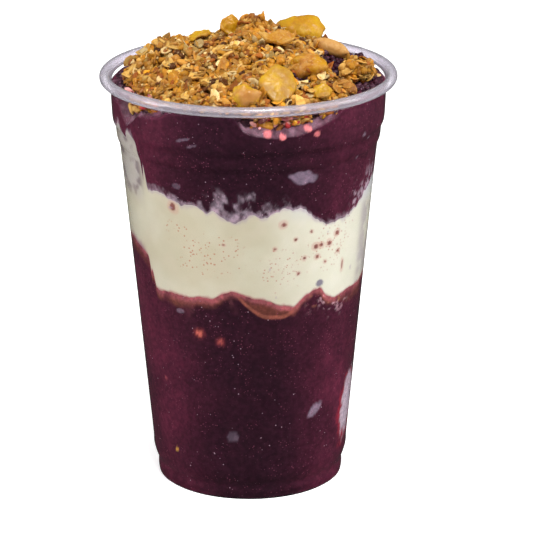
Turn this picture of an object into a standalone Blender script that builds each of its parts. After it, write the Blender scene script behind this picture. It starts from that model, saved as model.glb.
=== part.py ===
"""A tall clear plastic cup of acai with a band of cream, heaped with granola and larger toppings.

Metres, +Z up. The cup stands on its foot ring at z = 0, with its axis on the Z axis.
The front of the cup faces -Y. An azimuth is counted in degrees from the front, positive towards +X.
"""

import math

import bpy
from mathutils import Euler, Matrix, Vector, noise
from mathutils.bvhtree import BVHTree

for leftover in list(bpy.data.objects):
    bpy.data.objects.remove(leftover)

MM = 0.001
SEGMENTS = 40

# Cup
RIM_RADIUS = 49.0
CUP_HEIGHT = 140.0
WALL = 0.55
BEAD_WIDTH = 3.4
FOOT_RADIUS = 31.2
REST_RING = (28.6, 30.2)
RECESS_DEPTH = 1.8
FLOOR_TOP = 2.4
# Places up the outside of the wall, each (height, radius).
FOOT_CORNER = (0.6, 30.9)
FOOT_LOW = (2.2, FOOT_RADIUS)
FOOT_HIGH = (3.8, FOOT_RADIUS)
NOTCH = (5.4, 30.95)
RIDGE_START = (8.4, 32.3)
LOWER_RIDGE = (10.6, 32.8)
TAPER_LOW = (12.4, 32.7)
TAPER_HIGH = (116.2, 42.5)
STEP_LOW = (118.8, 43.6)
BAND_LOW = (122.0, 43.8)
STEP_HIGH = (124.4, 44.9)
NECK = (CUP_HEIGHT - 4.2, 45.4)
WALL_STATIONS = (FOOT_CORNER, FOOT_LOW, FOOT_HIGH, NOTCH, RIDGE_START, LOWER_RIDGE, TAPER_LOW,
                 TAPER_HIGH, STEP_LOW, BAND_LOW, STEP_HIGH, NECK)
RECESS_ROUND = 0.5
CURL_STEPS = 7
CURL_START = 180.0
CURL_END = -90.0

# Food
GAP = 0.3
LAYER_GAP = 0.4
CREAM_LOW = 73.0
CREAM_HIGH = 103.5
ACAI_TOP = 136.6
ACAI_DOME = 2.6
ACAI_EDGE_DROP = 1.0
SURFACE_RINGS = (0.86, 0.68, 0.45, 0.2)
# How fast a wave at the wall dies away inwards: slowly between the layers, quickly on the top.
FACE_EASE = 1.6
TOP_EASE = 6

# Waves in the faces where the layers meet, each (azimuth, half width in degrees, height in mm).
LOWER_WAVES = ((-72, 15, 11.5), (-9, 9, 2.6), (20, 9, -3.0), (35, 8, 1.6), (50, 10, -2.6),
               (125, 30, 5.0), (-150, 24, 3.5), (170, 18, -3.0))
UPPER_WAVES = ((-62, 15, 9.0), (-7, 10, -3.6), (18, 9, 0.9), (42, 15, -6.4), (78, 14, 3.0),
               (130, 26, -4.0), (-110, 22, -3.0), (172, 20, 4.5))
TOP_WAVES = ((-61, 9, -7.0), (12, 15, -6.6), (48, 12, 0.9))

# Granola heap
HEAP_EDGE = 42.0
HEAP_BITES = ((-54, 17, 5.5), (-118, 22, 4.0), (112, 16, 6.5), (142, 18, 9.0), (62, 12, 4.0),
              (-165, 16, 3.0), (8, 34, -1.6))
HEAP_RIM = 2.6
HEAP_CREST = 152.0
HEAP_FULLNESS = (1.3, 0.9)
# Fuller places in the heap, each (x, y, reach, height), lower where the heap thins out at its edge.
HEAP_MOUNDS = ((-32.0, 2.0, 12.0, 5.5), (2.0, 10.0, 10.0, 3.6), (21.0, 9.0, 10.0, 3.0))
MOUND_AT_EDGE = 0.35
MOUND_FULL_RISE = 0.2
HEAP_LUMP = 1.3
HEAP_LUMP_AT_EDGE = 0.4
HEAP_SEED = 3.0
LUMP_SIZE = 7.5
LUMP_GAIN = 1.6
HEAP_RINGS = (0.97, 0.88, 0.75, 0.6, 0.44, 0.26, 0.1)

# Toppings
CHIP_SEGMENTS = 14
CHIP_RAGGED = 0.16
CHIP_OUTLINE_SIZE = 6.0
# A chip's section from below to above: (share of the way out, face: -1 under, 0 rim, 1 over).
CHIP_RINGS = ((0.5, -1), (0.94, -1), (1.0, 0), (0.94, 1), (0.5, 1))
CLUSTER_SEGMENTS = 12
CLUSTER_ROWS = 6
CLUSTER_LUMP_SIZE = 5.0
BED_REACH = 0.55
TOPPING_GAP = 0.35
DROP_FROM = 30.0

CLEAR = (0.86, 0.86, 0.90)
ACAI = (0.030, 0.010, 0.018)
CREAM = (0.62, 0.56, 0.40)
GRANOLA = (0.50, 0.30, 0.10)
YELLOW = (0.70, 0.42, 0.05)
TAN = (0.55, 0.33, 0.12)
AMBER = (0.50, 0.24, 0.05)


def unit(azimuth):
    """The horizontal direction at an azimuth."""
    angle = math.radians(azimuth)
    return Vector((math.sin(angle), -math.cos(angle), 0.0))


def azimuths(count=SEGMENTS):
    """Azimuths once round, anticlockwise from above."""
    return [360.0 * i / count for i in range(count)]


def turn_between(a, b):
    """The angle from b to a, from -180 to 180 degrees."""
    return (a - b + 180.0) % 360.0 - 180.0


def waves(azimuth, table):
    """The sum of smooth humps round the cup."""
    return sum(
        height * math.exp(-((turn_between(azimuth, at) / width) ** 2)) for at, width, height in table
    )


def between(z, stations):
    """The radius at height z along straight lines between (z, radius) stations."""
    low = stations[0]
    for high in stations[1:]:
        if z <= high[0]:
            return low[1] + (high[1] - low[1]) * (z - low[0]) / (high[0] - low[0])
        low = high
    return low[1]


def food_radius(z):
    """How far out food reaches at height z, clear of the wall."""
    return between(z, WALL_STATIONS) - WALL - GAP


def curl(radius):
    """(z, radius) stations of the rolled lip, turning outwards over the top from its inner side."""
    centre_r = RIM_RADIUS - BEAD_WIDTH / 2
    centre_z = CUP_HEIGHT - BEAD_WIDTH / 2
    stations = []
    for i in range(CURL_STEPS):
        angle = math.radians(CURL_START + (CURL_END - CURL_START) * i / (CURL_STEPS - 1))
        stations.append((centre_z + radius * math.sin(angle), centre_r + radius * math.cos(angle)))
    return stations


def cup_profile():
    """The cup's closed section: under the base, up the outside, round the hollow lip, down the inside."""
    lip_under = curl(BEAD_WIDTH / 2 - WALL)
    lip_over = curl(BEAD_WIDTH / 2)[::-1]
    base = [(RECESS_DEPTH, REST_RING[0] - RECESS_ROUND), (0.0, REST_RING[0]), (0.0, REST_RING[1])]
    inside = [(z, r - WALL) for z, r in WALL_STATIONS if z > FLOOR_TOP][::-1]
    floor = [(FLOOR_TOP, between(FLOOR_TOP, WALL_STATIONS) - WALL)]
    return base + list(WALL_STATIONS) + lip_under + lip_over + inside + floor


def stack(name, low_pole, rings, high_pole):
    """One closed body from rings of points, each joined to the next, and a point that closes each end."""
    count = len(rings[0])
    points = [low_pole] + [p for ring in rings for p in ring] + [high_pole]
    faces = []
    for i in range(count):
        j = (i + 1) % count
        faces.append((0, 1 + j, 1 + i))
        last = 1 + (len(rings) - 1) * count
        faces.append((last + i, last + j, len(points) - 1))
        for k in range(len(rings) - 1):
            a, b = 1 + k * count, 1 + (k + 1) * count
            if rings[k][0].xy.length >= rings[k + 1][0].xy.length:
                faces += [(a + i, b + j, b + i), (a + i, a + j, b + j)]
            else:
                faces += [(a + i, a + j, b + i), (a + j, b + j, b + i)]
    mesh = bpy.data.meshes.new(name)
    mesh.from_pydata([tuple(p) for p in points], [], faces)
    mesh.validate()
    obj = bpy.data.objects.new(name, mesh)
    bpy.context.collection.objects.link(obj)
    return obj


def finish_node(obj, colour, roughness, transmission=0.0):
    """Turns the node into metres and gives it its own material."""
    obj.data.transform(Matrix.Scale(MM, 4))
    material = bpy.data.materials.new(obj.name)
    material.use_nodes = True
    shader = material.node_tree.nodes["Principled BSDF"]
    shader.inputs["Base Color"].default_value = (*colour, 1.0)
    shader.inputs["Roughness"].default_value = roughness
    shader.inputs["Transmission Weight"].default_value = transmission
    obj.data.materials.append(material)
    for polygon in obj.data.polygons:
        polygon.use_smooth = True
    return obj


def ring_at(radius_of, height_of):
    """A ring of points whose radius and height follow functions of the azimuth."""
    return [unit(a) * radius_of(a) + Vector((0, 0, height_of(a))) for a in azimuths()]


def make_cup():
    rings = [ring_at(lambda a, r=r: r, lambda a, z=z: z) for z, r in cup_profile()]
    return stack("cup", Vector((0, 0, RECESS_DEPTH)), rings, Vector((0, 0, FLOOR_TOP)))


def eased(height_of, share, level):
    """A wall height carried inwards, levelling out towards the middle."""
    return lambda a: level + (height_of(a) - level) * share**FACE_EASE


def lower_wall(azimuth):
    return CREAM_LOW + waves(azimuth, LOWER_WAVES)


def upper_wall(azimuth):
    return CREAM_HIGH + waves(azimuth, UPPER_WAVES)


def top_wall(azimuth):
    return ACAI_TOP - ACAI_EDGE_DROP + waves(azimuth, TOP_WAVES)


def face_rings(height_of, level, offset):
    """Rings of one wavy face between layers, from the wall inwards, moved up or down by offset."""
    rings = [ring_at(lambda a: food_radius(height_of(a)), lambda a: height_of(a) + offset)]
    for share in SURFACE_RINGS:
        height = eased(height_of, share, level)
        rings.append(
            ring_at(lambda a, s=share: s * food_radius(level), lambda a, h=height: h(a) + offset)
        )
    return rings


def make_layers():
    middle = Vector((0, 0, 1))
    base_z = FLOOR_TOP + GAP
    side = [ring_at(lambda a, z=z: food_radius(z), lambda a, z=z: z)
            for z in (base_z, NOTCH[0], LOWER_RIDGE[0], TAPER_LOW[0])]
    lower = stack(
        "acai_lower",
        middle * base_z,
        side + face_rings(lower_wall, CREAM_LOW, -LAYER_GAP / 2),
        middle * (CREAM_LOW - LAYER_GAP / 2),
    )
    cream = stack(
        "cream_layer",
        middle * (CREAM_LOW + LAYER_GAP / 2),
        face_rings(lower_wall, CREAM_LOW, LAYER_GAP / 2)[::-1]
        + face_rings(upper_wall, CREAM_HIGH, -LAYER_GAP / 2),
        middle * (CREAM_HIGH - LAYER_GAP / 2),
    )
    side = [ring_at(lambda a, z=z: food_radius(z), lambda a, z=z: z)
            for z in (TAPER_HIGH[0], STEP_LOW[0], BAND_LOW[0], STEP_HIGH[0])]
    top = [ring_at(lambda a, s=s: s * food_radius(top_wall(a)), lambda a, s=s: surface(s, a))
           for s in (1.0, *SURFACE_RINGS)]
    upper = stack(
        "acai_upper",
        middle * (CREAM_HIGH + LAYER_GAP / 2),
        face_rings(upper_wall, CREAM_HIGH, LAYER_GAP / 2)[::-1] + side + top,
        middle * surface(0.0, 0.0),
    )
    return lower, cream, upper


def surface(share, azimuth):
    """The height of the acai's top, domed to the middle and dipping here and there at the wall."""
    dip = waves(azimuth, TOP_WAVES) * share**TOP_EASE
    return ACAI_TOP - ACAI_EDGE_DROP + ACAI_DOME * (1 - share**2) + dip


def heap_edge(azimuth):
    return HEAP_EDGE - waves(azimuth, HEAP_BITES)


def lump(point, seed):
    """Uneven relief, about plus or minus 1."""
    return noise.noise(point / LUMP_SIZE + Vector((seed, 0, 0))) * LUMP_GAIN


def mounds(point):
    """How much the heap's fuller places add at a point."""
    return sum(height * math.exp(-((point.x - x) ** 2 + (point.y - y) ** 2) / reach**2)
               for x, y, reach, height in HEAP_MOUNDS)


def heap_top(azimuth, share, floor):
    """The heap's height at a share of the way out, with the toppings' beds pressed in."""
    power, fullness = HEAP_FULLNESS
    rise = (1 - share**power) ** fullness
    point = unit(azimuth) * share * heap_edge(azimuth)
    z = floor + HEAP_RIM + (HEAP_CREST - floor - HEAP_RIM) * rise
    z += HEAP_LUMP * lump(point, HEAP_SEED) * (HEAP_LUMP_AT_EDGE + (1 - HEAP_LUMP_AT_EDGE) * rise)
    z += mounds(point) * (MOUND_AT_EDGE + (1 - MOUND_AT_EDGE) * min(rise / MOUND_FULL_RISE, 1.0))
    for x, y, reach, depth in (t["bed"] for t in TOPPINGS):
        z -= depth * math.exp(-((point.x - x) ** 2 + (point.y - y) ** 2) / reach**2)
    return z


def make_heap(bed):
    """The granola as one solid out to its uneven outline, lying on the acai."""
    def floor_at(azimuth, share):
        point = unit(azimuth) * share * heap_edge(azimuth)
        hit = bed.ray_cast(Vector((point.x, point.y, 2 * CUP_HEIGHT)), Vector((0, 0, -1)))[0]
        return hit.z + LAYER_GAP + GAP

    under, over = [], []
    for share in HEAP_RINGS:
        under.append(ring_at(lambda a, s=share: s * heap_edge(a), lambda a, s=share: floor_at(a, s)))
        over.append(ring_at(
            lambda a, s=share: s * heap_edge(a),
            lambda a, s=share: max(heap_top(a, s, ACAI_TOP), floor_at(a, s) + HEAP_RIM / 2),
        ))
    return stack(
        "granola_heap",
        Vector((0, 0, floor_at(0.0, 0.0))),
        under[::-1] + over,
        Vector((0, 0, heap_top(0.0, 0.0, ACAI_TOP))),
    )


def make_chip(topping):
    """A thin irregular crisp: a dished disc with a ragged outline, bent along one side."""
    long, wide, thick = topping["size"]

    def at(share, azimuth, face):
        out = unit(azimuth)
        reach = share * (1 + CHIP_RAGGED * lump(out * CHIP_OUTLINE_SIZE, topping["seed"]))
        bend = topping["bend"] * (out.x * reach) ** 2 + topping["fold"] * abs(out.y * reach)
        return Vector((out.x * reach * long / 2, out.y * reach * wide / 2, bend + face * thick / 2))

    rings = [[at(share, a, face) for a in azimuths(CHIP_SEGMENTS)] for share, face in CHIP_RINGS]
    return stack(topping["node"], at(0, 0, -1), rings, at(0, 0, 1))


def make_cluster(topping):
    """A rounded nut or a lumpy cluster of crisps."""
    long, wide, thick = topping["size"]

    def at(row, azimuth):
        tilt = math.pi * row / CLUSTER_ROWS
        spot = unit(azimuth) * math.sin(tilt) - Vector((0, 0, math.cos(tilt)))
        swell = 1 + topping["rough"] * lump(spot * CLUSTER_LUMP_SIZE, topping["seed"])
        return Vector((spot.x * long, spot.y * wide, spot.z * thick)) * swell / 2

    rings = [[at(row, a) for a in azimuths(CLUSTER_SEGMENTS)] for row in range(1, CLUSTER_ROWS)]
    return stack(topping["node"], at(0, 0), rings, at(CLUSTER_ROWS, 0))


def topping(node, make, at, size, turn, colour, press, seed, bend=0.0, fold=0.0, rough=0.0):
    """One large topping: its place, its length, width and thickness, its turn in degrees about X, Y
    and Z, how deep it is pressed into the heap, and how it is bent, folded or roughened."""
    bed = (at[0], at[1], BED_REACH * max(size[0], size[1]), press)
    return {"node": node, "make": make, "at": at, "size": size, "turn": turn, "colour": colour,
            "bed": bed, "seed": seed, "bend": bend, "fold": fold, "rough": rough}


TOPPINGS = (
    topping("chip_folded", make_chip, (18.2, 8.4), (14.8, 11.4, 2.4), (34, 8, -12), YELLOW,
            press=3.0, seed=11.0, bend=-2.2, fold=-2.0),
    topping("chip_front", make_chip, (9.4, -37.0), (12.6, 12.0, 2.2), (40, 4, 12), YELLOW,
            press=1.6, seed=5.0, bend=-1.0),
    topping("chip_pale", make_chip, (23.2, -34.4), (6.0, 5.6, 1.8), (34, 8, -14), YELLOW,
            press=1.0, seed=7.0, bend=-0.5),
    topping("chip_standing", make_chip, (-5.4, 3.0), (6.4, 6.6, 1.8), (60, 0, 20), YELLOW,
            press=2.2, seed=9.0, bend=-0.8),
    topping("chip_flat", make_chip, (-16.0, -0.8), (7.0, 6.4, 1.6), (4, -16, 0), YELLOW,
            press=0.8, seed=13.0, bend=-0.4),
    topping("flake_curled", make_chip, (9.6, -7.4), (11.6, 6.6, 1.8), (12, 8, 20), TAN,
            press=1.2, seed=15.0, bend=1.4, fold=0.8),
    topping("nut_long", make_cluster, (27.4, -0.8), (11.6, 5.6, 5.0), (0, 22, -6), TAN,
            press=1.2, seed=17.0, rough=0.06),
    topping("nut_brown", make_cluster, (31.8, -24.4), (7.2, 4.4, 3.8), (24, 30, 28), AMBER,
            press=1.4, seed=19.0, rough=0.12),
    topping("fruit_piece", make_cluster, (-0.8, -40.4), (8.6, 6.6, 5.8), (24, 0, 0), YELLOW,
            press=2.6, seed=21.0, rough=0.2),
    topping("cluster_glazed", make_cluster, (19.6, -22.0), (12.0, 9.6, 7.8), (24, 14, 10), AMBER,
            press=3.8, seed=23.0, rough=0.2),
    topping("cluster_top", make_cluster, (2.0, 5.0), (7.6, 6.6, 5.6), (0, 6, 0), TAN,
            press=2.6, seed=25.0, rough=0.26),
    topping("cluster_right", make_cluster, (36.0, -10.0), (12.0, 8.0, 6.4), (10, 30, 14), TAN,
            press=2.6, seed=27.0, rough=0.24),
)


def tree_of(objects):
    """A search tree of the objects' surfaces."""
    points, faces = [], []
    for obj in objects:
        start = len(points)
        points += [v.co.copy() for v in obj.data.vertices]
        faces += [tuple(start + i for i in p.vertices) for p in obj.data.polygons]
    return BVHTree.FromPolygons(points, faces)


def least_drop(moving, still):
    """How far the moving object can fall straight down before it meets the still ones."""
    down, up = Vector((0, 0, -1)), Vector((0, 0, 1))
    below, own = tree_of(still), tree_of([moving])
    falls = [below.ray_cast(v.co, down)[3] for v in moving.data.vertices]
    for obj in still:
        falls += [own.ray_cast(v.co, up)[3] for v in obj.data.vertices]
    return min(f for f in falls if f is not None)


def make_toppings(resting_on):
    """Each topping, turned and lowered until it lies on the heap and clear of its neighbours."""
    placed = list(resting_on)
    for facts in TOPPINGS:
        obj = facts["make"](facts)
        turn = Euler([math.radians(t) for t in facts["turn"]]).to_matrix().to_4x4()
        x, y = facts["at"]
        obj.data.transform(Matrix.Translation((x, y, CUP_HEIGHT + DROP_FROM)) @ turn)
        fall = least_drop(obj, placed) - TOPPING_GAP
        obj.data.transform(Matrix.Translation((0, 0, -fall)))
        placed.append(obj)
    return placed[len(resting_on):]


cup = make_cup()
acai_lower, cream_layer, acai_upper = make_layers()
granola_heap = make_heap(tree_of([acai_upper]))
toppings = make_toppings([granola_heap, acai_upper, cup])

finish_node(cup, CLEAR, roughness=0.08, transmission=1.0)
finish_node(acai_lower, ACAI, roughness=0.35)
finish_node(cream_layer, CREAM, roughness=0.4)
finish_node(acai_upper, ACAI, roughness=0.35)
finish_node(granola_heap, GRANOLA, roughness=0.7)
for obj, facts in zip(toppings, TOPPINGS):
    finish_node(obj, facts["colour"], roughness=0.55)
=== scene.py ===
"""The looks of a clear plastic cup of acai and cream heaped with granola, built round its CAD solids.

Shapes are worked out in millimetres and turned into metres when a piece is made. The cup stands on
z = 0 with its axis on Z. An azimuth is in degrees from the front, -Y, and positive towards +X.
"""

import math

import bpy
import numpy as np
from mathutils import Matrix, Vector


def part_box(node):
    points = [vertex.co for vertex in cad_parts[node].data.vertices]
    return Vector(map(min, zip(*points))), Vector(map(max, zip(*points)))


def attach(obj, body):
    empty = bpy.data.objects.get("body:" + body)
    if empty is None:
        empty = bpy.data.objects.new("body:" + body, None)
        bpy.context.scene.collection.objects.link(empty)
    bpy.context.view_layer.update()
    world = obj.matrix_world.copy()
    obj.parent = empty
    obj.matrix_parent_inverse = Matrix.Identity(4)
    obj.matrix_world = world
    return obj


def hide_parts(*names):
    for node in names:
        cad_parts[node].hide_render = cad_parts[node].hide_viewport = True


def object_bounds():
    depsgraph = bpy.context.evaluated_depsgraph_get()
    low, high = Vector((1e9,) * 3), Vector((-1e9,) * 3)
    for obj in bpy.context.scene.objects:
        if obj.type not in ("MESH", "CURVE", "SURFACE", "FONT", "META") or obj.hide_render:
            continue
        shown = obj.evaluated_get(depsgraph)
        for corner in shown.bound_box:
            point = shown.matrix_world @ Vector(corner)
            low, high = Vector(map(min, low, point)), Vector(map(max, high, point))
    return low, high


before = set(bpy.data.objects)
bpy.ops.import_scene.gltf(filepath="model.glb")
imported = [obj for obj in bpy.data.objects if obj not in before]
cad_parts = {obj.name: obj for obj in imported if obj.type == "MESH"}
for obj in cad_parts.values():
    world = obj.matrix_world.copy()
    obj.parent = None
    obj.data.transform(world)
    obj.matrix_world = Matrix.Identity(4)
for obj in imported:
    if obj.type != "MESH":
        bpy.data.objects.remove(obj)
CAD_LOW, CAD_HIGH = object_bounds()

MM = 0.001

# ---------------------------------------------------------------- sizes, in mm

RIM_RADIUS = 49.0
CUP_HEIGHT = 140.0
WALL = 0.55
BEAD = 3.4
FLOOR_TOP = 2.4
RECESS = 1.8
REST_RING = (28.6, 30.2)
LIP_FOOT = 137.5
REACH_INTO_WALL = 0.12
CUP_SEGMENTS = 160
FILL_SEGMENTS = 400
# How far the fillings' points are drawn round towards the front, in degrees.
FRONT_CROWDING = 16.0
TOP_OF_ALL = CAD_HIGH.z / MM - 0.1

# (height, outer radius) of the wall, with the shoulders of its two steps.
WALL_STATIONS = (
    (0.5, 30.9), (2.0, 31.2), (3.8, 31.2), (5.4, 30.95), (6.6, 31.7), (8.4, 32.3), (10.6, 32.8),
    (12.4, 32.7), (30.0, 34.4), (60.0, 37.2), (90.0, 40.05), (116.2, 42.5), (117.4, 43.1),
    (118.8, 43.6), (122.0, 43.8), (123.2, 44.35), (124.4, 44.9), (130.0, 45.2), (135.8, 45.4),
)

# The edge where the upper acai meets the cream, as (azimuth, height) at the wall.
UPPER_EDGE = (
    (-180, 104), (-150, 100.5), (-128, 105), (-108, 101), (-96, 108), (-88, 119), (-80, 124),
    (-72, 126), (-66, 122), (-62, 125.4), (-58, 124.6), (-56.4, 119.5), (-54.6, 117), (-55.6, 112),
    (-55.2, 109), (-52.5, 107.4), (-44, 106.2), (-40, 105.5), (-32, 104.2), (-25, 104.4), (-20, 102),
    (-15, 103.3), (-10, 100.2), (-6, 99.2), (0, 102), (8, 101.6), (14, 103.3), (20, 104.1),
    (24, 103.8), (29, 100.8), (34, 98.2), (39, 96.9), (44, 96.6), (52, 97.9), (59, 99.4), (64, 101),
    (67, 103.5), (75, 105.4), (84, 107.5), (98, 105), (122, 98.5), (146, 99.5), (165, 104.5),
)
# The edge where the cream meets the lower acai.
LOWER_EDGE = (
    (-180, 72), (-155, 75.5), (-130, 72), (-108, 76), (-92, 84), (-80, 86.5), (-72, 86), (-64, 84.6),
    (-57, 82.7), (-55, 79.8), (-55.5, 75), (-53, 72.6), (-50, 71.6), (-42, 72.2), (-33, 71.9),
    (-25, 72.9), (-18, 72.8), (-14, 74.4), (-9, 75.3), (-3, 74.5), (5, 72.8), (12, 71.2), (18, 69.8),
    (22, 69.1), (25.5, 70.9), (28, 72.7), (32, 73.8), (37, 74.4), (41, 71.4), (47, 69.5), (54, 69.9),
    (61, 70.8), (72, 71.1), (90, 73.5), (112, 78), (135, 76), (160, 70.5),
)
# The acai's top line where it meets the wall.
TOP_EDGE = (
    (-180, 136.5), (-100, 136.2), (-84, 134.5), (-75, 132.8), (-69, 132.6), (-66, 129.6), (-62, 126.4),
    (-57, 129), (-53, 131.4), (-46, 132), (-41, 132.8), (-34, 135), (-20, 136), (-8, 136.2),
    (-4.5, 133.8), (-2, 130.8), (3, 129.4), (11, 128.5), (21, 128.8), (30, 130.9), (39, 133),
    (43, 136), (50, 136.7), (110, 136.4),
)
# The levels of the two faces between layers in the middle of the cup.
CREAM_LOW, CREAM_HIGH = 73.0, 103.5
# The level of the acai's top, and how far it swells above that in the middle.
ACAI_TOP, ACAI_DOME = 135.6, 2.6

# Granola heap: how far out it reaches, and bites out of that edge as (azimuth, width, depth).
HEAP_EDGE = 42.0
HEAP_BITES = (
    (-58, 19, 5.4), (-86, 12, 1.0), (-118, 22, 4.5), (112, 16, 6.5), (142, 18, 9.0), (66, 12, 6.0),
    (-165, 16, 3.0), (8, 34, -2.2),
)
# Fuller places in the heap, as (x, y, reach, height).
HEAP_MOUNDS = ((-32.0, 2.0, 12.0, 5.0), (2.0, 10.0, 10.0, 3.6), (21.0, 9.0, 10.0, 3.0))
# Bare icy acai showing through the granola, as (x, y, radius).
BARE = (
    (27.0, -8.0, 5.4), (35.0, 8.0, 6.0), (31.0, 16.5, 6.5), (41.0, -8.5, 4.5), (37.0, -16.0, 5.0),
    (16.8, -28.0, 2.8), (-26.0, 27.0, 5.0),
)
# The granola's thickness at its edge, the height of its crest, and the roundness of the heap between.
HEAP_RIM = 1.9
HEAP_CREST = 151.2
HEAP_POWER, HEAP_FULLNESS = 1.3, 0.9
# The large toppings, and how much of each one's box the granola keeps clear of.
TOPPINGS = (
    ("chip_folded", 0.8), ("chip_front", 0.9), ("chip_pale", 0.85), ("chip_standing", 1.0),
    ("chip_flat", 0.9), ("flake_curled", 0.9), ("nut_long", 0.9), ("nut_brown", 0.8),
    ("fruit_piece", 0.8), ("cluster_glazed", 0.8), ("cluster_top", 0.7), ("cluster_right", 0.7),
)
# How steeply the mounds rise from the heap's edge, and the share of the lumps that is left there.
MOUND_STEEPNESS, LUMP_AT_EDGE = 5, 0.45
# How deep under the granola's surface its core lies.
CORE_DEPTH = 3.4
CORE_SEGMENTS = 220
CRUMB_COUNT = 1900
ICE_CRUMB_COUNT = 1500
ICE_CRUMBS_PER_AREA = 6


# ---------------------------------------------------------------- colour

def linear(red, green, blue):
    """An sRGB colour of 0 to 255 as linear red, green and blue."""
    values = np.array((red, green, blue)) / 255.0
    return np.where(values <= 0.04045, values / 12.92, ((values + 0.055) / 1.055) ** 2.4)


ACAI_DARK = linear(38, 17, 29)
ACAI_WARM = linear(98, 36, 58)
ACAI_FROST = linear(150, 116, 132)
AIR_GREY = linear(134, 118, 134)
SMEAR = linear(190, 172, 184)
STAIN_PINK = linear(162, 90, 94)
STAIN_ORANGE = linear(146, 84, 68)
CREAM_BEIGE = linear(199, 191, 165)
CREAM_PALE = linear(221, 219, 202)
CREAM_SHADE = linear(176, 164, 168)
BERRY_SPOT = linear(122, 44, 40)
BERRY_HALO = linear(202, 150, 134)
STRAW = linear(202, 158, 80)
OAT_PALE = linear(218, 188, 130)
TOAST = linear(182, 128, 52)
GOLDEN = linear(184, 126, 32)
RUSSET = linear(150, 86, 28)
BROWN = linear(86, 48, 18)
CHIP_YELLOW = linear(202, 156, 10)
CHIP_AMBER = linear(190, 136, 10)
CHIP_PALE = linear(180, 134, 46)
CHIP_PINK = linear(188, 132, 62)
NUT_TAN = linear(198, 150, 86)
NUT_BROWN = linear(134, 76, 42)
HOLLOW_DARK, HOLLOW_PALE = linear(70, 34, 48), linear(132, 104, 116)
CORAL = linear(214, 120, 120)
FLECK_PINK, FLECK_TAN = linear(206, 168, 176), linear(176, 120, 84)
STRIP_EDGE, STRIP_PALE = linear(150, 40, 58), linear(190, 178, 188)
STAIN_DARK = linear(96, 38, 46)
BERRY_RED, BERRY_PINK = linear(176, 52, 54), linear(214, 150, 146)
PULP_PINK, ICE_PINK = linear(126, 60, 82), linear(190, 150, 168)
PIT_BROWN = linear(178, 106, 84)
OAT_DUST, SUGAR_DUST = linear(232, 204, 150), linear(236, 200, 120)
TONGUE_GREY, MURK = linear(176, 168, 172), linear(110, 84, 98)
LILAC, PLUM, FROST = linear(206, 210, 226), linear(142, 92, 118), linear(172, 150, 168)
BLUISH = linear(98, 88, 122)


# ---------------------------------------------------------------- noise and ramps

def hashed(cell, seed):
    """A number from 0 to 1 for each whole-number cell."""
    x, y, z = (cell[..., i].astype(np.int64) for i in range(3))
    h = (x * 374761393 + y * 668265263 + z * 2147483647 + seed * 974711) & 0xFFFFFFFF
    h = ((h ^ (h >> 13)) * 1274126177) & 0xFFFFFFFF
    h = ((h ^ (h >> 16)) * 2246822519) & 0xFFFFFFFF
    return (h ^ (h >> 15)) / 4294967296.0


def noise(points, size, seed=0):
    """Smooth noise from -1 to 1 over points in mm, with bumps about size mm across."""
    p = np.asarray(points, float) / size
    cell = np.floor(p)
    f = p - cell
    f = f * f * (3 - 2 * f)
    total = 0.0
    for corner in np.ndindex(2, 2, 2):
        weight = np.prod(np.where(np.array(corner), f, 1 - f), axis=-1)
        total = total + weight * hashed(cell + np.array(corner), seed)
    return 2 * total - 1


def fbm(points, size, octaves=4, seed=0):
    """Noise summed over finer and finer sizes, about -1 to 1."""
    total, strength, norm = 0.0, 1.0, 0.0
    for octave in range(octaves):
        total = total + strength * noise(points, size / 2**octave, seed + 17 * octave)
        norm += strength
        strength *= 0.5
    return total / norm * 1.5


def ramp(value, low, high):
    """0 below low, 1 above high, smooth between."""
    t = np.clip((value - low) / (high - low), 0, 1)
    return t * t * (3 - 2 * t)


def mix(a, b, share):
    return a + (b - a) * np.asarray(share)[..., None]


def around(azimuth, stations):
    """Straight lines round the cup between (azimuth, value) stations."""
    return np.interp(azimuth, [s[0] for s in stations], [s[1] for s in stations], period=360)


def turn_between(a, b):
    return (a - b + 180.0) % 360.0 - 180.0


def heading(azimuth):
    """Horizontal unit directions at azimuths in degrees, as an array of points."""
    angle = np.radians(azimuth)
    return np.stack([np.sin(angle), -np.cos(angle), np.zeros_like(angle)], axis=-1)


def evenly(count):
    """Azimuths spaced evenly all the way round."""
    return np.arange(count) * 360.0 / count


def azimuth_of(points):
    return np.degrees(np.arctan2(points[..., 0], -points[..., 1]))


# ---------------------------------------------------------------- meshes

def make_piece(name, points, quads, triangles=(), tint=None, smooth=True):
    """A mesh piece from points in mm. tint is a colour for each point."""
    quads = np.asarray(quads, np.int32).reshape(-1, 4)
    triangles = np.asarray(triangles, np.int32).reshape(-1, 3)
    mesh = bpy.data.meshes.new(name)
    mesh.vertices.add(len(points))
    mesh.vertices.foreach_set("co", (np.asarray(points) * MM).astype(np.float32).ravel())
    corners = np.concatenate([quads.ravel(), triangles.ravel()])
    mesh.loops.add(len(corners))
    mesh.loops.foreach_set("vertex_index", corners)
    mesh.polygons.add(len(quads) + len(triangles))
    starts = np.concatenate(
        [np.arange(len(quads)) * 4, len(quads) * 4 + np.arange(len(triangles)) * 3]
    )
    mesh.polygons.foreach_set("loop_start", starts.astype(np.int32))
    mesh.update(calc_edges=True)
    mesh.validate()
    mesh.polygons.foreach_set("use_smooth", np.full(len(mesh.polygons), smooth))
    if tint is not None:
        layer = mesh.color_attributes.new("tint", "FLOAT_COLOR", "POINT")
        rgba = np.ones((len(points), 4), np.float32)
        rgba[:, :tint.shape[1]] = tint
        layer.data.foreach_set("color", rgba.ravel())
    obj = bpy.data.objects.new(name, mesh)
    bpy.context.scene.collection.objects.link(obj)
    return obj


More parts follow.
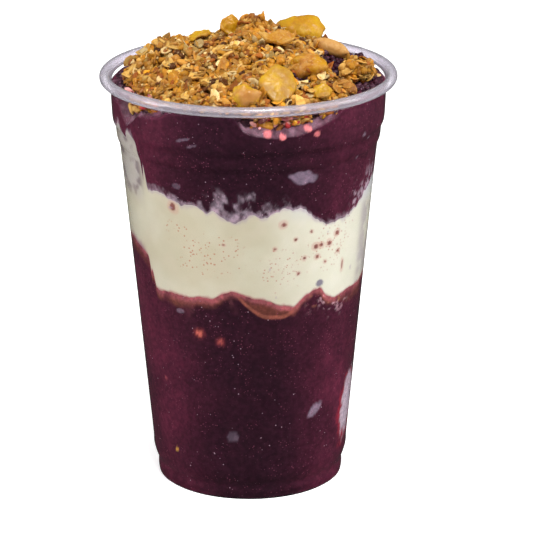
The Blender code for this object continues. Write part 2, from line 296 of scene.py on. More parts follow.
def skin(rings, low_pole, high_pole):
    """Points, quads and triangles of one closed surface over rings of points and two end points."""
    rings = np.asarray(rings)
    rows, count = rings.shape[:2]
    points = np.concatenate([rings.reshape(-1, 3), [low_pole], [high_pole]])
    low, high = rows * count, rows * count + 1
    i = np.arange(count)
    j = (i + 1) % count
    first = np.arange(rows - 1)[:, None] * count
    quads = np.stack([first + i, first + j, first + count + j, first + count + i], axis=-1)
    last = (rows - 1) * count
    below = np.stack([np.full(count, low), j, i], axis=-1)
    above = np.stack([last + i, last + j, np.full(count, high)], axis=-1)
    return points, quads.reshape(-1, 4), np.concatenate([below, above])


def hoop(rings):
    """Points and quads of a ring-shaped surface whose section is itself closed."""
    rings = np.asarray(rings)
    rows, count = rings.shape[:2]
    i = np.arange(count)
    j = (i + 1) % count
    this = np.arange(rows)[:, None] * count
    above = (np.arange(rows)[:, None] + 1) % rows * count
    quads = np.stack([this + i, above + i, above + j, this + j], axis=-1)
    return rings.reshape(-1, 3), quads.reshape(-1, 4)


def finish_piece(obj, material, slot, *nodes):
    """Gives a piece its material and body, and hides the CAD nodes that it stands for.
    The slot is not used.
    """
    obj.data.materials.append(material)
    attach(obj, "root")
    if nodes:
        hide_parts(*nodes)


# ---------------------------------------------------------------- materials

class Nodes:
    """Short calls for building one material's nodes."""

    def __init__(self, name):
        self.material = bpy.data.materials.new(name)
        self.material.use_nodes = True
        self.tree = self.material.node_tree
        self.shader = self.tree.nodes["Principled BSDF"]
        self.place = self.add("ShaderNodeTexCoord").outputs["Object"]

    def add(self, kind, **settings):
        node = self.tree.nodes.new(kind)
        for key, value in settings.items():
            setattr(node, key, value)
        return node

    def join(self, source, target):
        self.tree.links.new(source, target)

    def noise(self, size, detail=3.0, roughness=0.55, distortion=0.0):
        """Noise whose bumps are about size mm across."""
        node = self.add("ShaderNodeTexNoise")
        node.inputs["Scale"].default_value = 1 / (size * MM)
        node.inputs["Detail"].default_value = detail
        node.inputs["Roughness"].default_value = roughness
        node.inputs["Distortion"].default_value = distortion
        self.join(self.place, node.inputs["Vector"])
        return node.outputs["Fac"]

    def spots(self, size, randomness=1.0):
        """Distance to the nearest of scattered points about size mm apart, from 0 at a point."""
        node = self.add("ShaderNodeTexVoronoi")
        node.inputs["Scale"].default_value = 1 / (size * MM)
        node.inputs["Randomness"].default_value = randomness
        self.join(self.place, node.inputs["Vector"])
        return node.outputs["Distance"]

    def ramp(self, source, low, high, start=0.0, end=1.0):
        node = self.add("ShaderNodeMapRange", interpolation_type="SMOOTHSTEP", clamp=True)
        node.inputs["From Min"].default_value = low
        node.inputs["From Max"].default_value = high
        node.inputs["To Min"].default_value = start
        node.inputs["To Max"].default_value = end
        self.join(source, node.inputs["Value"])
        return node.outputs["Result"]

    def mixed(self, share, a, b, blend="MIX"):
        """A colour mixed from two, each a socket or an RGB triple. share is a socket or a number."""
        node = self.add("ShaderNodeMix", data_type="RGBA", blend_type=blend)
        for socket, value in ((node.inputs[6], a), (node.inputs[7], b)):
            if isinstance(value, bpy.types.NodeSocket):
                self.join(value, socket)
            else:
                socket.default_value = (*value, 1.0)
        if isinstance(share, bpy.types.NodeSocket):
            self.join(share, node.inputs[0])
        else:
            node.inputs[0].default_value = share
        return node.outputs[2]

    def tint(self, part="Color"):
        """The colour painted on the mesh, or, as Alpha, how thickly its fine specks lie."""
        return self.add("ShaderNodeVertexColor", layer_name="tint").outputs[part]

    def multiply(self, a, b):
        node = self.add("ShaderNodeMath", operation="MULTIPLY")
        self.join(a, node.inputs[0])
        self.join(b, node.inputs[1])
        return node.outputs[0]

    def set(self, **values):
        """Sets sockets of the shader, named with _ for a space, to sockets or plain values."""
        for key, value in values.items():
            socket = self.shader.inputs[key.replace("_", " ")]
            if isinstance(value, bpy.types.NodeSocket):
                self.join(value, socket)
            else:
                socket.default_value = value
        return self

    def bump(self, height, depth):
        """Relief of about depth mm."""
        node = self.add("ShaderNodeBump")
        node.inputs["Strength"].default_value = 1.0
        node.inputs["Distance"].default_value = depth * MM
        self.join(height, node.inputs["Height"])
        self.join(node.outputs["Normal"], self.shader.inputs["Normal"])
        return self

    def soft(self, weight, scale_mm):
        """A little light carried under the surface."""
        self.shader.inputs["Subsurface Weight"].default_value = weight
        self.shader.inputs["Subsurface Scale"].default_value = scale_mm * MM
        self.shader.inputs["Subsurface Radius"].default_value = (1.0, 0.7, 0.5)
        return self


def clear_plastic():
    n = Nodes("clear_plastic")
    haze = n.noise(14.0, detail=2.0)
    n.set(Base_Color=n.mixed(haze, (0.975, 0.97, 0.985), (0.955, 0.95, 0.975)))
    n.set(Transmission_Weight=1.0, IOR=1.45, Specular_IOR_Level=0.5)
    n.set(Roughness=n.ramp(n.noise(5.0), 0.3, 0.7, 0.02, 0.07))
    n.bump(n.noise(9.0, detail=1.0), 0.05)
    return n.material


def acai_material(name, specular, relief):
    """Dark frozen puree. The tint holds its smears, stains and, on the wall, painted side light; the
    nodes its fine flecks.
    """
    n = Nodes(name)
    mottling = n.ramp(n.noise(1.6, 5.0, 0.7), 0.35, 0.7)
    mottled = n.mixed(mottling, (0.78, 0.78, 0.80), (1.40, 1.26, 1.30))
    colour = n.mixed(1.0, n.tint(), mottled, "MULTIPLY")
    pulp = n.multiply(n.ramp(n.spots(1.0), 0.26, 0.10), n.ramp(n.noise(6.0, 3.0), 0.42, 0.66))
    colour = n.mixed(pulp, colour, PULP_PINK)
    ice = n.multiply(n.ramp(n.spots(2.1), 0.12, 0.04), n.ramp(n.noise(7.0, 2.0), 0.48, 0.62))
    colour = n.mixed(ice, colour, ICE_PINK)
    n.set(Base_Color=colour, Roughness=n.ramp(n.noise(2.2), 0.3, 0.7, 0.28, 0.55))
    n.set(Specular_IOR_Level=specular)
    return n.soft(0.08, 1.5).bump(n.noise(1.4, 3.0), relief).material


def cream_material():
    n = Nodes("smooth_cream")
    pits = n.multiply(n.ramp(n.spots(1.25), 0.32, 0.16), n.tint("Alpha"))
    veil = n.mixed(n.ramp(n.noise(7.0, 4.0), 0.35, 0.7), (0.97, 0.97, 0.95), (1.02, 1.01, 1.02))
    colour = n.mixed(1.0, n.tint(), veil, "MULTIPLY")
    colour = n.mixed(pits, colour, PIT_BROWN)
    n.set(Base_Color=colour, Roughness=n.ramp(n.noise(4.0), 0.3, 0.7, 0.32, 0.5))
    return n.soft(0.15, 2.0).bump(n.noise(3.0, 2.0), 0.05).material


def baked_material(name, fleck, gloss, relief, dusting=0.3):
    """Toasted oats, crisps and nuts. The tint is each one's own colour, on the heap's core its painted
    shade.
    """
    n = Nodes(name)
    scorched = n.ramp(n.noise(1.6, 4.0), 0.42, 0.72)
    colour = n.mixed(scorched, n.tint(), fleck, "MULTIPLY")
    pale = n.ramp(n.noise(0.9, 3.0), 0.54, 0.72, 0.0, dusting)
    colour = n.mixed(pale, colour, OAT_DUST)
    n.set(Base_Color=colour, Roughness=n.ramp(n.noise(1.2), 0.3, 0.7, gloss, gloss + 0.25))
    n.set(Specular_IOR_Level=0.22)
    return n.soft(0.12, 1.2).bump(n.noise(0.6, 4.0, 0.65), relief).material


def fruit_material():
    """Dried fruit: its own tint, riper in patches, lightly sugared, glossy and puckered."""
    n = Nodes("dried_fruit")
    ripe = n.ramp(n.noise(3.0, 4.0, distortion=0.6), 0.36, 0.66, 0.0, 0.7)
    colour = n.mixed(ripe, n.tint(), (0.88, 0.74, 0.52), "MULTIPLY")
    sugar = n.ramp(n.noise(1.1, 4.0), 0.58, 0.76, 0.0, 0.15)
    colour = n.mixed(sugar, colour, SUGAR_DUST)
    n.set(Base_Color=colour, Roughness=n.ramp(n.noise(1.8), 0.3, 0.7, 0.34, 0.58))
    return n.soft(0.2, 2.0).bump(n.noise(1.3, 4.0), 0.22).material


# ---------------------------------------------------------------- cup

def rounded(stations, rounds=2):
    """The same line with its corners cut off, twice over."""
    line = np.asarray(stations, float)
    for _ in range(rounds):
        near = line[:-1] * 0.75 + line[1:] * 0.25
        far = line[:-1] * 0.25 + line[1:] * 0.75
        line = np.concatenate([line[:1], np.stack([near, far], 1).reshape(-1, 2), line[-1:]])
    return line


def lip(radius, steps=28):
    """The hollow rolled lip: from the wall's top, up over and out, and back underneath."""
    angle = np.radians(np.linspace(180.0, -90.0, steps))
    centre_z, centre_r = CUP_HEIGHT - BEAD / 2, RIM_RADIUS - BEAD / 2
    return np.stack([centre_z + radius * np.sin(angle), centre_r + radius * np.cos(angle)], 1)


WALL_LINE = rounded(WALL_STATIONS)
# The inside of the base, from the middle out: flat, then down into the hollow ring of the foot.
FOOT_LINE = rounded(((FLOOR_TOP, 6.0), (FLOOR_TOP, 27.4), (2.1, 28.0), (0.8, 28.8), (0.55, 29.4),
                     (0.75, 30.2), (2.2, 30.6)))


def inner_radius(z):
    return np.interp(z, WALL_LINE[:, 0], WALL_LINE[:, 1]) - WALL


def milky_plastic():
    """The rolled lip: the same plastic, milky where the light runs along it."""
    n = Nodes("milky_plastic")
    cloud = n.noise(6.0, detail=2.0)
    n.set(Base_Color=n.mixed(cloud, (0.78, 0.74, 0.81), (0.92, 0.89, 0.95)))
    n.set(Transmission_Weight=0.86, IOR=1.45, Specular_IOR_Level=0.5)
    n.set(Roughness=n.ramp(n.noise(3.0), 0.3, 0.7, 0.12, 0.24))
    n.bump(n.noise(5.0, detail=1.0), 0.05)
    return n.material


def revolved(*lines):
    """Rings of points round the axis for a section of (height, radius) points."""
    section = np.concatenate(lines)
    rings = heading(evenly(CUP_SEGMENTS))[None] * section[:, 1, None, None]
    rings[..., 2] += section[:, 0, None]
    return rings


def make_lip():
    """The lip on its own, down to where it leaves the wall."""
    inside = inner_radius(LIP_FOOT)
    wall_foot = np.array([(LIP_FOOT, inside + WALL), (LIP_FOOT, inside)])
    points, quads = hoop(revolved(lip(BEAD / 2), lip(BEAD / 2 - WALL)[::-1], wall_foot))
    obj = make_piece("cup_lip", points, quads)
    obj.visible_shadow = False
    finish_piece(obj, milky_plastic(), "clear_plastic")


def make_cup():
    """The clear wall and base, in one section from under the base, up the outside and back inside."""
    ring_in, ring_out = REST_RING
    base = np.array([
        (RECESS, 6.0), (RECESS, ring_in - 1.0), (RECESS - 0.4, ring_in - 0.4),
        (0.0, ring_in), (0.0, ring_out),
    ])
    outside = WALL_LINE[WALL_LINE[:, 0] < LIP_FOOT - 0.1]
    inside = WALL_LINE[WALL_LINE[:, 0] > FLOOR_TOP + 0.3][::-1] - (0.0, WALL)
    inside = inside[inside[:, 0] < LIP_FOOT - 0.1]
    rings = revolved(base, outside, inside, FOOT_LINE[::-1])
    cup = make_piece("clear_cup", *skin(rings, (0, 0, RECESS), (0, 0, FLOOR_TOP)))
    cup.visible_shadow = False
    finish_piece(cup, clear_plastic(), "clear_plastic", "cup")


# ---------------------------------------------------------------- acai and cream

EVEN_AZIMUTH = -180.0 + evenly(FILL_SEGMENTS)
# Closer together at the front, where the layers' edges are finest.
AZIMUTH = EVEN_AZIMUTH - FRONT_CROWDING * np.sin(np.radians(EVEN_AZIMUTH))
DIRECTION = heading(AZIMUTH)


def ragged(edge, rough, seed):
    """An edge's heights round the cup, with small tears."""
    z = around(AZIMUTH, edge)
    spot = DIRECTION * 42.0
    return z + rough * (fbm(spot, 5.0, 3, seed) + 0.6 * noise(spot, 0.9, seed + 5))


def wall_points(z):
    """Points at heights z, one for each azimuth, just inside the cup's wall."""
    points = DIRECTION * (inner_radius(z) + REACH_INTO_WALL)[:, None]
    points[:, 2] = z
    return points


def side_rows(low, high, rows):
    return [wall_points(low + (high - low) * t) for t in np.linspace(0, 1, rows)]


def inward_rows(z_wall, level, shares):
    """Rings from the wall inwards, levelling out quickly towards the middle."""
    rings = []
    for share in shares:
        points = DIRECTION * (inner_radius(level) * share)
        points[:, 2] = level + (z_wall - level) * share**8
        rings.append(points)
    return rings


INNER_SHARES = (0.985, 0.95, 0.88, 0.7, 0.4)


def blot(points, at, half_width, half_height, lean=0.0, torn=0.22, seed=0):
    """1 inside an uneven oval on the wall at (azimuth, height), 0 outside."""
    azimuth, height = at
    across = np.radians(turn_between(azimuth_of(points), azimuth)) * 40.0
    up = points[..., 2] - height
    across, up = across + lean * up, up - lean * across
    distance = np.hypot(across / half_width, up / half_height)
    return ramp(distance + torn * noise(points, 1.6, seed), 1.15, 0.8)


def dab(paint, points, colour, strength, *oval, **uneven):
    """The paint with a blot of colour on it."""
    return mix(paint, colour, strength * blot(points, *oval, **uneven))


# Grey air pockets on the wall, as ((azimuth, height), half width, half height, lean, strength).
UPPER_POCKETS = (
    ((24.5, 114.4), 4.6, 2.3, -0.12, 0.85), ((-34, 110.5), 1.4, 1.0, 0.0, 0.35),
    ((-28, 127.2), 2.2, 0.5, 0.3, 0.5), ((-24, 125.4), 1.8, 0.4, 0.3, 0.4),
    ((57, 124.5), 0.8, 0.7, 0.0, 0.7), ((62, 122.5), 0.7, 0.6, 0.0, 0.6),
    ((55, 117.0), 0.6, 0.6, 0.0, 0.6), ((-122, 118.0), 4.0, 1.8, 0.2, 0.7),
    ((148, 112.0), 3.4, 2.2, -0.1, 0.7),
)
LOWER_POCKETS = (
    ((38.8, 30.6), 4.3, 2.0, 0.55, 0.95), ((-9.6, 23.4), 2.4, 1.6, 0.1, 0.35),
    ((-37, 66.5), 1.6, 1.0, 0.1, 0.5), ((-106, 48.0), 2.6, 3.4, 0.2, 0.7),
    ((150, 36.0), 3.2, 2.2, 0.1, 0.7), ((-160, 24.0), 2.0, 2.8, 0.0, 0.6),
)
# Coral drops under the lip, as ((azimuth, height), radius).
DROPS = (((25.5, 131.0), 1.1), ((29, 129.0), 0.9), ((8, 130.2), 1.2), ((14, 129.0), 0.9))
# Stains low down, as ((azimuth, height), half width, colour).
STAINS = (
    ((-26.5, 60.0), 2.6, STAIN_DARK), ((-15.0, 57.6), 2.2, STAIN_DARK),
    ((-26.5, 60.0), 1.4, linear(190, 100, 84)), ((-15.0, 57.6), 1.2, linear(176, 84, 76)),
    ((-48, 15.0), 0.9, linear(214, 160, 70)), ((-52, 40.0), 0.7, linear(150, 70, 80)),
)
# Berry spots in the cream, as (azimuth, height, half width, half height).
CREAM_SPOTS = (
    (-37, 103.0, 1.2, 1.5), (16, 98.6, 0.9, 0.9), (33, 89.5, 1.0, 0.9), (36, 89.7, 0.8, 0.8),
    (41, 89.6, 0.9, 0.9), (45.5, 92.5, 0.9, 0.9), (34, 85.8, 0.8, 0.7), (51, 80.5, 0.5, 1.6),
    (22, 93.0, 0.5, 0.5), (27, 86.2, 0.5, 0.6), (12, 90.4, 0.5, 0.5), (39, 83.4, 0.5, 0.5),
    (30, 95.0, 0.5, 0.5), (47, 86.0, 0.6, 0.6), (24, 81.0, 0.5, 0.5), (-12, 92.0, 0.4, 0.4),
    (118, 88.0, 0.9, 0.8), (134, 84.0, 0.7, 0.9), (-128, 90.0, 0.8, 0.8), (170, 86.0, 0.6, 0.6),
)
# Where the cream is finely pitted, as ((azimuth, height), half width, half height, strength).
PITTED = (
    ((-18, 88), 11, 7, 0.75), ((15, 83), 8, 6, 0.6), ((42, 90), 8, 9, 0.6), ((-34, 95), 4, 3, 0.7),
    ((52, 97), 5, 4, 0.6), ((120, 88), 9, 7, 0.6), ((-140, 88), 9, 8, 0.6),
)


def acai_paint(points, seed):
    """The acai's own colour, warmer here and there, with painted side light: lighter and redder towards
    both sides.
    """
    warm = ramp(fbm(points, 12.0, 4, seed), -0.6, 0.9)
    # Painted side light: the acai lighter and redder towards both sides, darkest at the front.
    side = ramp(np.abs(turn_between(azimuth_of(points), 0)), 12, 62)
    return mix(ACAI_DARK, ACAI_WARM, (0.12 + 0.7 * side) * (0.55 + 0.6 * warm))


def upper_paint(points, cream_edge):
    """Colours of the upper acai at the wall: scratchy smears over the cream, and air pockets."""
    paint = acai_paint(points, 3)
    azimuth = azimuth_of(points)
    above = points[:, 2] - np.interp(azimuth, AZIMUTH, cream_edge, period=360)
    stretched = points * (1.0, 1.0, 0.55) + np.outer(points[:, 2], (0.3, 0.2, 0.0))
    scratch = fbm(stretched, 2.0, 4, 31) + 0.5 * fbm(points, 5.0, 2, 33)
    reach = 3.0 + 8.5 * ramp(np.abs(turn_between(azimuth, -3)), 26, 10)
    fading = ramp(above, reach, 0.0)
    smear = ramp(scratch, 0.15 - 0.65 * fading, 1.05 - 0.6 * fading) * ramp(fading, 0.0, 0.3)
    front = ramp(np.abs(turn_between(azimuth, -6)), 40, 20)
    grit = (0.75 + 0.5 * noise(points, 0.9, 34)).clip(0, 1)
    paint = mix(paint, SMEAR, smear * grit * (0.35 + 0.4 * front))
    speckled = ramp(np.abs(turn_between(azimuth, 66)), 15, 8) * ramp(above, 11, 1)
    grains = ramp(fbm(points, 1.3, 2, 36), 0.35 - 0.5 * speckled, 0.7 - 0.5 * speckled)
    paint = mix(paint, SMEAR, 0.75 * speckled * grains)
    fringe = ramp(above + 0.5 * noise(points, 1.3, 35), 1.0, 0.0)
    paint = mix(paint, SMEAR, 0.45 * fringe)
    line = np.interp(azimuth, AZIMUTH, ragged(TOP_EDGE, 0.0, 0), period=360)
    hollow = ramp(points[:, 2] - line, 0.0, 0.8) * ramp(line, 134.5, 132.0)
    clear = (0.5 + 0.5 * fbm(points, 3.4, 4, 37)).clip(0, 1)
    paint = mix(paint, mix(HOLLOW_DARK, HOLLOW_PALE, clear), 0.85 * hollow)
    for at, wide, tall, lean, strength in UPPER_POCKETS:
        paint = dab(paint, points, AIR_GREY, strength, at, wide, tall, lean)
    for at, size in DROPS:
        paint = dab(paint, points, CORAL, 0.9, at, size, size)
    return paint


def lower_paint(points, cream_edge):
    """Colours of the lower acai at the wall: a pink fringe under the cream, stains and air pockets."""
    paint = acai_paint(points, 7)
    azimuth = azimuth_of(points)
    below = np.interp(azimuth, AZIMUTH, cream_edge, period=360) - points[:, 2]
    depth = 2.2 + 1.3 * ramp(azimuth, -10, -45) + 0.9 * noise(points * (1, 1, 0), 5.0, 41)
    depth = depth + 2.4 * ramp(np.abs(azimuth - 66), 14, 6)
    fringe = ramp(below + 0.5 * fbm(points, 2.4, 3, 42), depth + 1.3, depth - 1.2)
    pink = mix(STAIN_PINK * 1.25, STAIN_ORANGE * 0.6, ramp(below, 0.0, 3.2))
    paint = mix(paint, pink, fringe * (0.62 + 0.4 * fbm(points, 3.0, 3, 43)).clip(0.1, 1))
    ribbon = 66.2 + 4.6 * ((azimuth - 13) / 14) ** 2 + 0.5 * noise(points * (1, 1, 0), 4.0, 44)
    off = points[:, 2] - ribbon
    along = ramp(np.abs(azimuth - 9), 17, 11)
    paint = mix(paint, STAIN_ORANGE, 0.95 * along * ramp(np.abs(off), 1.1, 0.3))
    paint = mix(paint, STAIN_ORANGE * 0.5, 0.8 * along * ramp(off, 0.4, 1.0) * ramp(below, 1.0, 2.4))
    veil = ramp(np.abs(azimuth + 18), 22, 6) * ramp(below, 9, 2) * ramp(fbm(points, 4.0, 3, 46), 0.1, 0.8)
    paint = mix(paint, STAIN_PINK * 0.8, 0.5 * veil)
    band = ramp(np.abs(turn_between(azimuth, 44)), 17, 8) * ramp(below, 9, 1)
    fleck = ramp(fbm(points, 1.5, 3, 47), 0.35, 0.7)
    paint = mix(paint, FLECK_PINK, 0.8 * fleck * band)
    speck = ramp(fbm(points, 1.8, 2, 49), 0.5, 0.8)
    paint = mix(paint, FLECK_TAN, 0.7 * speck * band)
    for at, wide, tall, lean, strength in LOWER_POCKETS:
        paint = dab(paint, points, AIR_GREY, strength, at, wide, tall, lean, seed=51)
    paint = dab(paint, points, STRIP_EDGE, 0.8, (71.5, 25.5), 8.2, 13.0, -0.12, 0.25, 54)
    paint = dab(paint, points, STRIP_PALE, 0.95, (73, 27.0), 6.4, 11.5, -0.12, 0.25, 53)
    for at, size, colour in STAINS:
        paint = dab(paint, points, colour, 0.9, at, size, size * 0.8)
    return paint


def cream_paint(points, low_edge, high_edge):
    """Beige at the front, paler to the right as painted light, greyer at both sides as painted shade,
    with small berry spots and stained edges. The fourth column is how thickly the fine specks lie."""
    azimuth = azimuth_of(points)
    over_low = points[:, 2] - np.interp(azimuth, AZIMUTH, low_edge, period=360)
    under_high = np.interp(azimuth, AZIMUTH, high_edge, period=360) - points[:, 2]
    streaks = 0.5 + 0.5 * fbm(points * (1, 1, 0.45), 2.2, 3, 70)
    # Painted light: the cream paler towards the right, as if lit more strongly there.
    pale = ramp(azimuth, -5, 48) * ramp(azimuth, 150, 90)
    paint = mix(CREAM_BEIGE, CREAM_PALE, pale)
    cloud = ramp(fbm(points, 12.0, 3, 61), -0.3, 0.8)
    paint = mix(paint, CREAM_PALE, 0.35 * cloud)
    # Painted shade: grey, darker in patches, on the tongue of cream at the left, as of an air gap at the
    # wall.
    tongue = ramp(np.abs(turn_between(azimuth, -68)), 15, 8) * ramp(points[:, 2], 98, 108)
    paint = mix(paint, TONGUE_GREY, 0.55 * tongue)
    murk = tongue * ramp(fbm(points, 4.5, 3, 63), 0.05, 0.55)
    paint = mix(paint, MURK, 0.7 * murk)
    # Painted shade: greyer at the right side, below the cream's top.
    dusk = ramp(np.abs(turn_between(azimuth, 74)), 12, 5) * ramp(fbm(points, 5.0, 2, 65), -0.6, 0.3)
    paint = mix(paint, CREAM_SHADE, 0.7 * dusk * ramp(points[:, 2], 104, 96))
    for place, height, wide, tall in CREAM_SPOTS:
        at = (place, height)
        paint = dab(paint, points, BERRY_HALO, 0.45, at, wide * 1.9, tall * 1.8, seed=66)
        paint = dab(paint, points, BERRY_SPOT, 0.9, at, wide * 0.9, tall * 0.9, seed=67)
    field = max_of(
        strength * blot(points, at, wide, tall, torn=0.6, seed=68)
        for at, wide, tall, strength in PITTED
    )
    lilac = ramp(points[:, 2], 97, 105) * ramp(azimuth, 5, 40) * ramp(azimuth, 100, 70)
    paint = mix(paint, LILAC, 0.55 * lilac)
    bleed = ramp(over_low, 0.5 + 1.1 * streaks, 0.0)
    paint = mix(paint, STAIN_PINK * 1.2, 0.75 * bleed)
    left = ramp(np.abs(turn_between(azimuth, -68)), 12, 5) * ramp(over_low + 3 * streaks, 5.0, 2.0)
    paint = mix(paint, PLUM, 0.6 * left)
    frost = ramp(under_high, 2.6 * streaks, 0.0) * ramp(np.abs(turn_between(azimuth, 0)), 75, 50)
    paint = mix(paint, FROST, 0.55 * frost)
    paint = dab(paint, points, BLUISH, 0.8, (36.5, 76.2), 1.7, 1.3, seed=72)
    return np.column_stack([paint, field])


def make_fill(name, rings, low, high, paint, material, slot, node):
    points, quads, triangles = skin(rings, (0, 0, low), (0, 0, high))
    finish_piece(make_piece(name, points, quads, triangles, paint(points)), material, slot, node)


def acai_surface(share, top_edge):
    """The acai's crumbly icy top at a share of the way out."""
    z = ACAI_TOP + ACAI_DOME * (1 - share**2) + (top_edge - ACAI_TOP) * share**6
    radius = (inner_radius(top_edge) + REACH_INTO_WALL) * share
    points = DIRECTION * radius[:, None]
    crumb = fbm(points, 3.2, 4, 71) + 1.2 * np.abs(fbm(points, 1.5, 3, 73))
    points[:, 2] = z + crumb * ramp(1 - share, 0.0, 0.03) * 0.9
    return points


def make_fillings():
    lower = ragged(LOWER_EDGE, 0.35, 81)
    upper = ragged(UPPER_EDGE, 0.85, 83)
    top = np.maximum(ragged(TOP_EDGE, 0.3, 85), upper + 0.4)
    acai, cream = acai_material("acai_puree", 0.08, 0.05), cream_material()

    base = [DIRECTION * r + (0, 0, z - REACH_INTO_WALL) for z, r in FOOT_LINE]
    rings = base + side_rows(np.full(FILL_SEGMENTS, FLOOR_TOP + 0.4), lower - 7.0, 58)
    rings += side_rows(lower - 7.0, lower, 26)[1:] + inward_rows(lower, CREAM_LOW, INNER_SHARES)
    make_fill("acai_lower_fill", rings, FLOOR_TOP - REACH_INTO_WALL, CREAM_LOW,
              lambda p: lower_paint(p, lower), acai, "acai", "acai_lower")

    gap = 0.02
    rings = inward_rows(lower + gap, CREAM_LOW + gap, INNER_SHARES)[::-1]
    rings += side_rows(lower + gap, upper - gap, 84)
    rings += inward_rows(upper - gap, CREAM_HIGH - gap, INNER_SHARES)
    make_fill("cream_fill", rings, CREAM_LOW + gap, CREAM_HIGH - gap,
              lambda p: cream_paint(p, lower, upper), cream, "cream", "cream_layer")

    rings = inward_rows(upper, CREAM_HIGH, INNER_SHARES)[::-1] + side_rows(upper, top, 76)
    rings += [acai_surface(share, top) for share in np.linspace(0.992, 0.55, 44)]
    rings += [acai_surface(share, top) for share in (0.45, 0.3, 0.15)]
    make_fill("acai_upper_fill", rings, CREAM_HIGH, ACAI_TOP + ACAI_DOME,
              lambda p: upper_paint(p, upper), acai, "acai", "acai_upper")
    return top


# ---------------------------------------------------------------- small shapes, about 1 across

def flake(seed, segments=10):
    """A rolled oat: a thin oval, dished and creased along its length."""
    rng = np.random.default_rng(seed)
    azimuth = evenly(segments)
    outline = 1 + 0.16 * rng.standard_normal(segments)
    curl, crease, twist = rng.uniform(-0.5, 0.7), rng.uniform(0.05, 0.16), rng.uniform(-0.4, 0.4)

    def ring(share, side):
        p = heading(azimuth) * (share * outline)[:, None] * (0.5, 0.32, 0)
        p[:, 2] = curl * p[:, 0] ** 2 + twist * p[:, 0] * p[:, 1] + side * 0.06
        p[:, 2] -= side * crease * np.exp(-((p[:, 1] / 0.07) ** 2))
        return p

    rings = [ring(0.55, -1), ring(0.95, -0.8), ring(1.04, 0.0), ring(0.95, 0.8), ring(0.55, 1)]
    return skin(rings, (0, 0, -0.06 + crease), (0, 0, 0.06 - crease))


def grain(seed, segments=7, rows=5):
    """A plump toasted oat: long, uneven, with a crease along its back."""
    rng = np.random.default_rng(seed)
    azimuth = evenly(segments)
    bend, shift = rng.uniform(-0.25, 0.25), rng.uniform(0, 90, 3)
    angle = np.radians(azimuth)

    def ring(along):
        girth = math.sqrt(max(1 - (2 * along) ** 2, 0.0)) * 0.5
        across, up = 0.52 * girth * np.cos(angle), 0.36 * girth * np.sin(angle)
        p = np.stack([np.full(segments, along), across, up], 1)
        p[:, 1:] *= 1 + 0.30 * fbm(p + shift, 0.42, 2, seed)[:, None]
        p[:, 2] += bend * along**2 - 0.05 * np.exp(-((p[:, 1] / 0.06) ** 2)) * (np.sin(angle) > 0)
        return p

    rings = [ring(along) for along in 0.5 * np.sin(np.linspace(-1.3, 1.3, rows))]
    return skin(rings, (-0.5, 0, bend / 4), (0.5, 0, bend / 4))


def shard(seed, segments=8, rows=4):
    """A broken angular bit of crisp or cluster."""
    rng = np.random.default_rng(seed)
    azimuth = np.sort(rng.uniform(0, 360, segments) * 0.35 + evenly(segments) * 0.65)
    outline = rng.uniform(0.72, 1.12, segments)
    tip = rng.uniform(-0.12, 0.12, (rows, 2))
    rings = []
    for row, (height, share) in enumerate(((-0.26, 0.62), (-0.10, 1.0), (0.12, 0.94), (0.27, 0.58))):
        ring = heading(azimuth) * (outline * share)[:, None] * (0.5, 0.44, 0)
        ring[:, :2] += tip[row]
        ring[:, 2] = height * rng.uniform(0.75, 1.2) + rng.uniform(-0.05, 0.05, segments)
        rings.append(ring)
    return skin(rings, rings[0].mean(axis=0) - (0, 0, 0.03), rings[-1].mean(axis=0) + (0, 0, 0.03))


def sliver(seed, segments=6, rows=6):
    """A thin curved strip, such as a husk or a shaving of nut."""
    rng = np.random.default_rng(seed)
    azimuth = evenly(segments)
    bend, wide, thick = rng.uniform(-0.5, 0.5), rng.uniform(0.10, 0.17), rng.uniform(0.04, 0.08)
    rings = []
    for along in np.linspace(-0.47, 0.47, rows):
        girth = np.sqrt(max(1 - (2 * along) ** 2, 0.1)) * rng.uniform(0.8, 1.15)
        angle = np.radians(azimuth)
        ring = np.stack([np.full(segments, along), wide * girth * np.cos(angle),
                         thick * girth * np.sin(angle) + bend * along**2], 1)
        rings.append(ring)
    return skin(rings, (-0.5, 0, bend * 0.25), (0.5, 0, bend * 0.25))


def nugget(seed, segments=8, rows=5, rough=0.42):
    """A lumpy crisp or a crumb of cluster."""
    rng = np.random.default_rng(seed)
    azimuth = evenly(segments)
    shift = rng.uniform(0, 90, 3)

    def at(tilt, directions):
        spot = directions * np.sin(tilt) - np.array((0, 0, np.cos(tilt)))
        swell = 1 + rough * fbm(spot + shift, 0.8, 2, seed)
        return spot * swell[:, None] * (0.5, 0.42, 0.36)

    rings = [at(math.pi * row / rows, heading(azimuth)) for row in range(1, rows)]
    low, high = (at(t, heading(azimuth[:1]))[0] for t in (0.0, math.pi))
    return skin(rings, low, high)


def rotations(normals, lean, rng):
    """Matrices that turn +Z to each normal, spin about it, and lean off it by about lean degrees."""
    count = len(normals)
    wobble = np.tan(np.radians(lean * rng.random(count)))[:, None]
    z = normals + wobble * rng.standard_normal((count, 3)) * 0.7
    z /= np.linalg.norm(z, axis=1)[:, None]
    x = np.cross(rng.standard_normal((count, 3)), z)
    x /= np.linalg.norm(x, axis=1)[:, None]
    return np.stack([x, np.cross(z, x), z], axis=2)


